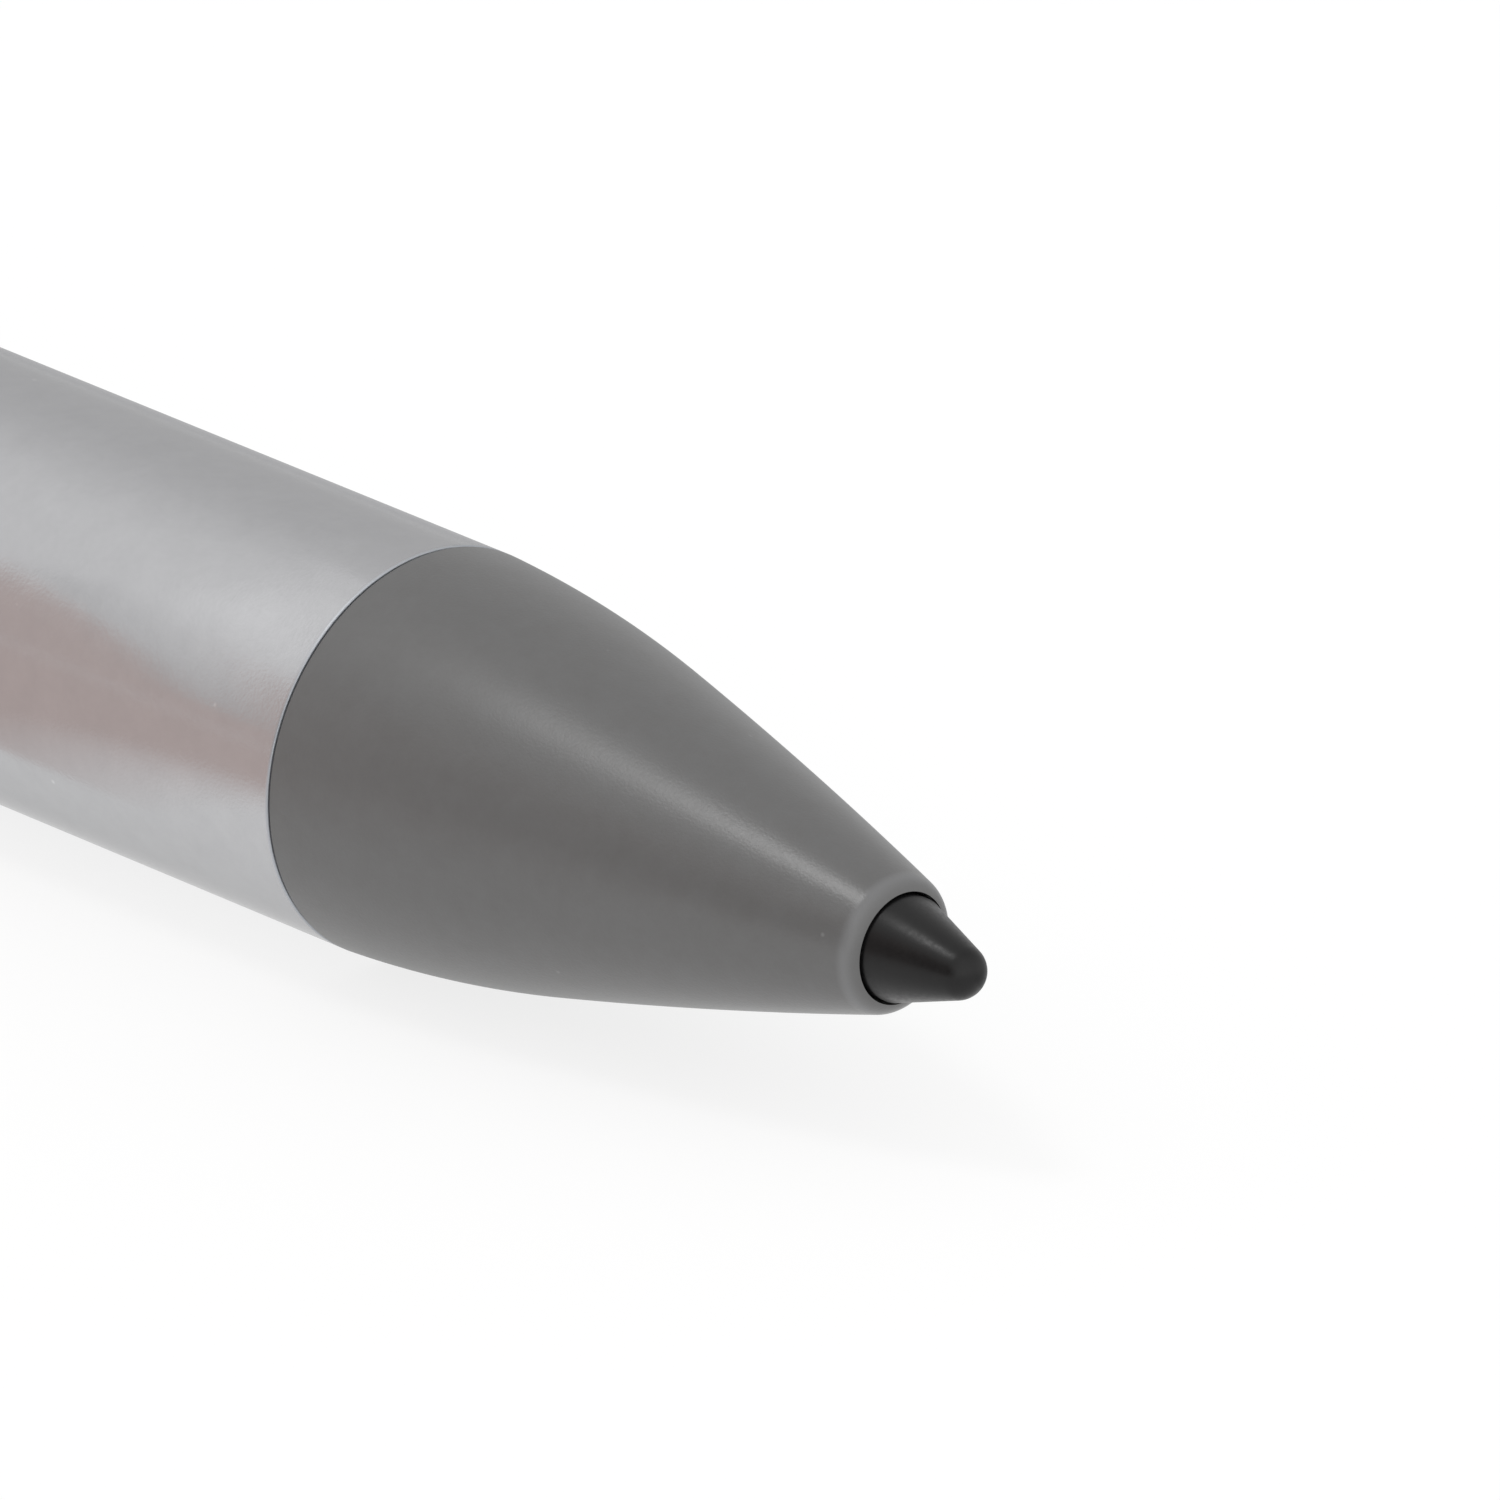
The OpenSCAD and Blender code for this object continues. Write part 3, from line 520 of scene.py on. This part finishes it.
bright_steel = lay_finish("bright_steel", dark=(0.50, 0.50, 0.52), light=(0.60, 0.60, 0.62),
                          clouds=400, smooth=0.2, rough=0.34, grains=9000, depth=1, metallic=1.0)
dress(natural_nylon, "board_carrier")
dress(solder_mask, "circuit_board")
dress(chip_epoxy, "board_chips", "front_actuator", "rear_actuator", "sensor_cup")
dress(amber_film, "sensor_flex")
dress(bright_steel, "board_screws", "key_switches", "force_sensor")

# Side keys
# Two moulded grey keys that fit the barrel's windows from inside. A ledge under the wall keeps
# each one in, and its crowned top stands a little proud to be found by feel.
crown_r = 3.0
key_top = 4.95
key_edge = 0.14
ledge_top = 3.613
ledge_bottom = 3.213
ledge_margin = 1
ledge_overlap = 0.2
nub_r = 0.9
nub_height = 0.4
nub_bottom = 2.913


def soften_edges(piece, name, width, angle):
    edges = piece.modifiers.new(name, "BEVEL")
    edges.width = width * mm
    edges.segments = 3
    edges.limit_method = "ANGLE"
    edges.angle_limit = math.radians(angle)


key_grey = lay_finish("key_plastic", dark=(0.115, 0.115, 0.120), light=(0.140, 0.140, 0.144),
                      clouds=180, smooth=0.40, rough=0.52, grains=9000, depth=2.2)
for label, node, body, middle in (("front_key_cap", "front_key", "front_key_unit", key_middles[0]),
                                  ("rear_key_cap", "rear_key", "rear_key_unit", key_middles[1])):
    key = stadium_block(label, middle, key_length, key_width, ledge_top - ledge_overlap, above_barrel)
    bm = bmesh.new()
    bmesh.ops.create_cone(bm, cap_ends=True, segments=192, radius1=crown_r * mm, radius2=crown_r * mm,
                          depth=key_length * 1.5 * mm)
    bmesh.ops.rotate(bm, matrix=Matrix.Rotation(math.pi / 2, 3, "Y"), verts=bm.verts[:])
    bmesh.ops.translate(bm, vec=(middle * mm, 0, (key_top - crown_r) * mm), verts=bm.verts[:])
    work(key, make_piece(bm, "crown_form"), "INTERSECT")
    ledge = stadium_block("ledge", middle, key_length + ledge_margin, key_width + ledge_margin,
                          ledge_bottom, ledge_top)
    work(key, ledge, "UNION")
    bm = bmesh.new()
    bmesh.ops.create_cone(bm, cap_ends=True, segments=48, radius1=nub_r * mm, radius2=nub_r * mm,
                          depth=nub_height * mm,
                          matrix=Matrix.Translation((middle * mm, 0, (nub_bottom + nub_height / 2) * mm)))
    work(key, make_piece(bm, "nub"), "UNION")
    roll_over(key)
    soften_edges(key, "softened_edges", key_edge, angle=35)
    key.data.materials.append(key_grey)
    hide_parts(node)
    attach(key, body)

# Nose cone
# One moulding in mid-grey matt plastic, worn smoother towards its tip. A spigot behind pushes into
# the barrel, and outside it curves in from the barrel's edge to a rolled lip round the nib.
nose_x = 0.12
nose_start = 0.18
spigot_r = 4.2
spigot_back = -7.0
guide_seat_r = 3.4
guide_seat_front = 5.02
tilt_seat_r = 2.5
tilt_seat_front = 8.47
tip_seat_r = 1.6
tip_seat_front = 12.82
shoulder_r = 34.0
shoulder_start = 2.6
shoulder_end = 12.5576
flank_x = 6.03
flank_top = 3.97164
flank_r = 161.328
flank_end = 15.9373
lip_x = 15.1092
lip_middle = 1.13
lip_r = 0.52
lip_end = 70.92
mouth_r = 1.3
mouth_x = 15.6006
matt_grey = lay_finish("matt_grey_nose", dark=(0.108, 0.107, 0.106), light=(0.119, 0.119, 0.119),
                       clouds=1500, smooth=0.365, rough=0.405, grains=14000, depth=4)
wear_smooth(matt_grey, start_x=2.0, end_x=lip_x, share=0.77)
# The lip's rounding is smoother, and the lighter band on it is a painted highlight of the light it
# catches
rim_finish_and_highlight(matt_grey, lip_x + lip_r * 0.5, half_width=0.22, colour=(0.155, 0.156, 0.158), roughness=0.3)
scatter_marks(matt_grey, marks=600, size=0.04, colour=(0.20, 0.20, 0.20))


def arc_middle(x, r, radius, slope):
    return x - radius * math.sin(math.radians(slope)), r - radius * math.cos(math.radians(slope))


bm = bmesh.new()
corners = draw_outline(bm, ((mouth_x, mouth_r), (tip_seat_front, mouth_r), (tip_seat_front, tip_seat_r),
                            (tilt_seat_front, tip_seat_r), (tilt_seat_front, tilt_seat_r),
                            (guide_seat_front, tilt_seat_r), (guide_seat_front, guide_seat_r),
                            (spigot_back, guide_seat_r), (spigot_back, spigot_r), (nose_x, spigot_r),
                            (nose_x, barrel_r - edge_break), (nose_start, barrel_r)), closed=False)
middle_x, middle_r = arc_middle(nose_start, barrel_r, shoulder_r, shoulder_start)
point = draw_arc(bm, corners[-1], middle_x, middle_r, shoulder_end - shoulder_start, steps=24)
middle_x, middle_r = arc_middle(flank_x, flank_top, flank_r, shoulder_end)
point = draw_arc(bm, point, middle_x, middle_r, flank_end - shoulder_end, steps=24)
point = draw_arc(bm, point, lip_x, lip_middle, lip_end - flank_end, steps=14)
bm.edges.new((point, corners[0]))
nose_shell = turn_on_lathe(bm, "nose_shell")
nose_shell.data.materials.append(matt_grey)
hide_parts("nose_cone")
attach(nose_shell, "barrel")

# Nib
# A black hard plastic tip with a stem that plugs into the sliding holder behind it. It is turned
# to a short cone with a ball end, and its head sits in the mouth of the nose.
stem_back = 1.82
stem_r = 0.75
head_back = 13.52
head_r = 1.22
head_front = 15.7296
ball_x = 17.37
ball_r = 0.65
nib_cone = 18.1
nib_black = lay_finish("nib_plastic", dark=(0.005, 0.005, 0.0055), light=(0.009, 0.0085, 0.0085),
                       clouds=500, smooth=0.28, rough=0.38, grains=11000, depth=1)
nib_black.node_tree.nodes["Principled BSDF"].inputs["Specular IOR Level"].default_value = 0.28
cone_end = (ball_x + ball_r * math.sin(math.radians(nib_cone)),
            ball_r * math.cos(math.radians(nib_cone)))
bm = bmesh.new()
corners = draw_outline(bm, ((stem_back, 0), (stem_back, stem_r), (head_back, stem_r), (head_back, head_r),
                            (head_front, head_r), cone_end), closed=False)
draw_arc(bm, corners[-1], ball_x, 0, 90 - nib_cone, steps=16)
nib_tip = turn_on_lathe(bm, "nib_tip", steps=128)
nib_tip.data.materials.append(nib_black)
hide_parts("nib")
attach(nib_tip, "nib_unit")

# Pieces inside the nose
# A nylon holder carries the nib and slides in a nylon guide, held forward by a small spring. Two
# brass sleeves round the stem are the signal electrodes.
nib_spring_front = 0.52
nib_spring_back = -2.08
turn_steps = 24
bright_brass = lay_finish("bright_brass", dark=(0.66, 0.46, 0.19), light=(0.76, 0.56, 0.26),
                          clouds=350, smooth=0.2, rough=0.36, grains=8000, depth=1, metallic=1.0)
dress(natural_nylon, "nib_holder", "nib_guide")
dress(bright_brass, "tip_electrode", "tilt_electrode")


def wind_spring(name, front, back, coil_r, wire_r, turns):
    bm = bmesh.new()
    bmesh.ops.create_circle(bm, segments=12, radius=wire_r * mm,
                            matrix=Matrix.Translation(((front - wire_r) * mm, 0, coil_r * mm))
                            @ Matrix.Rotation(math.pi / 2, 4, "X"))
    steps = turn_steps * turns
    bmesh.ops.spin(bm, geom=bm.verts[:] + bm.edges[:], cent=(0, 0, 0), axis=(1, 0, 0),
                   angle=math.tau * turns, steps=steps,
                   dvec=((back - front + 2 * wire_r) / steps * mm, 0, 0))
    bmesh.ops.holes_fill(bm, edges=[edge for edge in bm.edges if edge.is_boundary], sides=0)
    bmesh.ops.recalc_face_normals(bm, faces=bm.faces[:])
    return make_piece(bm, name)


nib_coil = wind_spring("nib_coil", nib_spring_front, nib_spring_back,
                       coil_r=1.38, wire_r=0.15, turns=3)
nib_coil.data.materials.append(bright_steel)
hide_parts("nib_spring")
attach(nib_coil, "barrel")
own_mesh(nib_coil)

# Battery bulkhead
# A moulded grey joint that holds the two barrels in line. It fills both tubes, and its narrow
# ring shows as a shallow groove between them.
bulkhead_front = -46.5
ring_r = 4.45
ring_back = -51.0
cup_r = 3.3
cup_floor = -52.8
bulkhead_back = -54.5
pin_hole_r = 0.6
joint_grey = lay_finish("joint_plastic", dark=(0.075, 0.075, 0.078), light=(0.095, 0.095, 0.098),
                        clouds=220, smooth=0.42, rough=0.55, grains=8000, depth=2)
bm = bmesh.new()
draw_outline(bm, ((bulkhead_front, pin_hole_r), (bulkhead_front, spigot_r), (front_back, spigot_r),
                  (front_back, ring_r), (ring_back, ring_r), (ring_back, spigot_r),
                  (bulkhead_back, spigot_r), (bulkhead_back, cup_r), (cup_floor, cup_r),
                  (cup_floor, pin_hole_r)))
bulkhead = turn_on_lathe(bm, "joint_bulkhead")
bulkhead.data.materials.append(joint_grey)
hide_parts("battery_bulkhead")
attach(bulkhead, "barrel")

# Rear barrel
# A second length of the same tube round the battery. Its tail end is relieved and threaded
# inside for the cap.
rear_back = -101.5
relief_front = -98.5
relief_r = 4.5
bm = bmesh.new()
corners = draw_outline(bm, ((ring_back, bore_r), (ring_back, barrel_r),
                            (ring_back - edge_land, barrel_r), (rear_back + edge_land, barrel_r),
                            (rear_back, barrel_r), (rear_back, relief_r),
                            (relief_front, relief_r), (relief_front, bore_r)))
round_corners(bm, (corners[1], corners[4]), edge_break)
rear_tube = turn_on_lathe(bm, "rear_tube")
rear_tube.data.materials.append(anodised)
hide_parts("rear_barrel")
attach(rear_tube, "barrel")

# Battery and its contacts
# A single small cell in a plain dark wrap lies in the rear barrel between a brass pin with a
# coil spring in front and a brass contact in the cap's plug.
dark_wrap = lay_finish("dark_cell_wrap", dark=(0.040, 0.040, 0.048), light=(0.060, 0.060, 0.068),
                       clouds=150, smooth=0.25, rough=0.4, grains=3000, depth=2, metallic=0.4)
dress(dark_wrap, "battery_can")
dress(bright_steel, "battery_terminal", "battery_spring")
dress(bright_brass, "minus_pin", "plus_contact")

# Threaded plug and gasket
# The cap's plug is a grey moulding with a coarse thread that screws into the rear barrel, and a
# black rubber ring seals the joint.
gasket_front = -101.51
gasket_back = -101.79
gasket_r = 4.6
gasket_edge = 0.1
rubber = lay_finish("black_rubber", dark=(0.016, 0.016, 0.016), light=(0.026, 0.026, 0.026),
                    clouds=300, smooth=0.6, rough=0.75, grains=7000, depth=4)
dress(joint_grey, "threaded_plug")
bm = bmesh.new()
corners = draw_outline(bm, ((gasket_front, bore_r), (gasket_front, gasket_r), (gasket_back, gasket_r),
                            (gasket_back, bore_r)))
round_corners(bm, corners[1:3], gasket_edge)
gasket = turn_on_lathe(bm, "gasket_ring")
gasket.data.materials.append(rubber)
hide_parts("tail_gasket")
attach(gasket, "tail_seal")

# Tail sleeve
# A short cap of the same anodised tube that is unscrewed to change the cell. Its end is turned in
# to a lip that keeps the button, and a slot is milled for the clip's foot.
tail_front = -101.8
lip_front = -117.3
tail_end = -118.8
tail_round = 0.5
round_land = 0.6
button_hole_r = 3.75
clip_foot_x = -114.4
foot_slot = (0.94, 3.84, 3)
foot_slot_z = 4.9
bm = bmesh.new()
corners = draw_outline(bm, ((tail_front, bore_r), (tail_front, barrel_r),
                            (tail_front - edge_land, barrel_r), (tail_end + round_land, barrel_r),
                            (tail_end, barrel_r), (tail_end, button_hole_r),
                            (lip_front, button_hole_r), (lip_front, bore_r)))
round_corners(bm, corners[4:5], tail_round, steps=8)
round_corners(bm, corners[1:2], edge_break)
tail_tube = turn_on_lathe(bm, "tail_tube")
bm = bmesh.new()
bmesh.ops.create_cube(bm, size=1)
bmesh.ops.scale(bm, vec=[size * mm for size in foot_slot], verts=bm.verts[:])
bmesh.ops.translate(bm, vec=(clip_foot_x * mm, 0, foot_slot_z * mm), verts=bm.verts[:])
slot_cutter = make_piece(bm, "slot_cutter")
roll_over(slot_cutter)
work(tail_tube, slot_cutter, "DIFFERENCE")
tail_tube.data.materials.append(anodised)
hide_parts("tail_sleeve")
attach(tail_tube, "tail")

# Tail board, switch and spring
# A round board in the cap with the radio chip and the button's dome switch, and a coil spring
# that returns the button.
tail_spring_front = -107.7
tail_spring_back = -115.8
dress(solder_mask, "tail_board")
dress(chip_epoxy, "radio_chip")
dress(bright_steel, "tail_switch")
tail_coil = wind_spring("tail_coil", tail_spring_front, tail_spring_back,
                        coil_r=2.0, wire_r=0.18, turns=5)
tail_coil.data.materials.append(bright_steel)
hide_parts("tail_spring")
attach(tail_coil, "tail")
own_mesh(tail_coil)

# Tail button
# A moulded grey button in the end of the cap. A flange inside stops it against the lip, and its
# stem presses the switch.
button_stem_front = -109.3
button_stem_r = 1.3
flange_back = -117.2
flange_r = 4.1
button_r = 3.65
button_end = -121.4
button_round = 0.9
bm = bmesh.new()
corners = draw_outline(bm, ((button_stem_front, 0), (button_stem_front, button_stem_r),
                            (tail_spring_back, button_stem_r), (tail_spring_back, flange_r),
                            (flange_back, flange_r), (flange_back, button_r), (button_end, button_r),
                            (button_end, 0)), closed=False)
round_corners(bm, corners[6:7], button_round, steps=10)
button_cap = turn_on_lathe(bm, "button_cap")
button_cap.data.materials.append(matt_grey)
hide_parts("tail_button")
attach(button_cap, "tail_button_unit")

# Pocket clip
# One strip of satin spring steel. Its foot is bent down through the slot in the cap, the arm runs
# forward along the barrel, and the end is curled so that it slides over cloth.
clip_width = 3.6
clip_thick = 0.7
clip_edge = 0.12
clip_foot_z = 4.35
clip_arm_z = 6.4
clip_bend = 1.25
clip_arm_end = -85.128
curl_r = 2.4
curl_turn = 41.05
satin_steel = lay_finish("satin_spring_steel", dark=(0.56, 0.56, 0.58), light=(0.63, 0.63, 0.65),
                         clouds=120, smooth=0.24, rough=0.38, grains=9000, depth=1.6, metallic=1.0,
                         stretch=(0.03, 1, 1))
bm = bmesh.new()
foot = draw_outline(bm, ((clip_foot_x, clip_foot_z), (clip_foot_x, clip_arm_z - clip_bend)), closed=False)
point = draw_arc(bm, foot[-1], clip_foot_x + clip_bend, clip_arm_z - clip_bend, 90, steps=12)
point = draw_line(bm, point, clip_arm_end, clip_arm_z)
point = draw_arc(bm, point, clip_arm_end, clip_arm_z - curl_r, curl_turn, steps=12)
lowest_x = clip_arm_end + 2 * curl_r * math.sin(math.radians(curl_turn))
lowest_z = clip_arm_z - 2 * curl_r * (1 - math.cos(math.radians(curl_turn)))
draw_arc(bm, point, lowest_x, lowest_z + curl_r, -2 * curl_turn, steps=24)
strip = bmesh.ops.extrude_edge_only(bm, edges=bm.edges[:])
far_side = only_verts(strip["geom"])
near_side = [vert for vert in bm.verts if vert not in far_side]
bmesh.ops.translate(bm, vec=(0, clip_width / 2 * mm, 0), verts=far_side)
bmesh.ops.translate(bm, vec=(0, -clip_width / 2 * mm, 0), verts=near_side)
bmesh.ops.remove_doubles(bm, verts=bm.verts[:], dist=merge_gap)
bmesh.ops.recalc_face_normals(bm, faces=bm.faces[:])
clip_strip = make_piece(bm, "clip_strip")
roll_over(clip_strip)
gauge = clip_strip.modifiers.new("gauge", "SOLIDIFY")
gauge.thickness = clip_thick * mm
gauge.offset = 0
gauge.use_even_offset = True
soften_edges(clip_strip, "deburred_edges", clip_edge, angle=40)
clip_strip.data.materials.append(satin_steel)
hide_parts("pocket_clip")
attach(clip_strip, "clip")
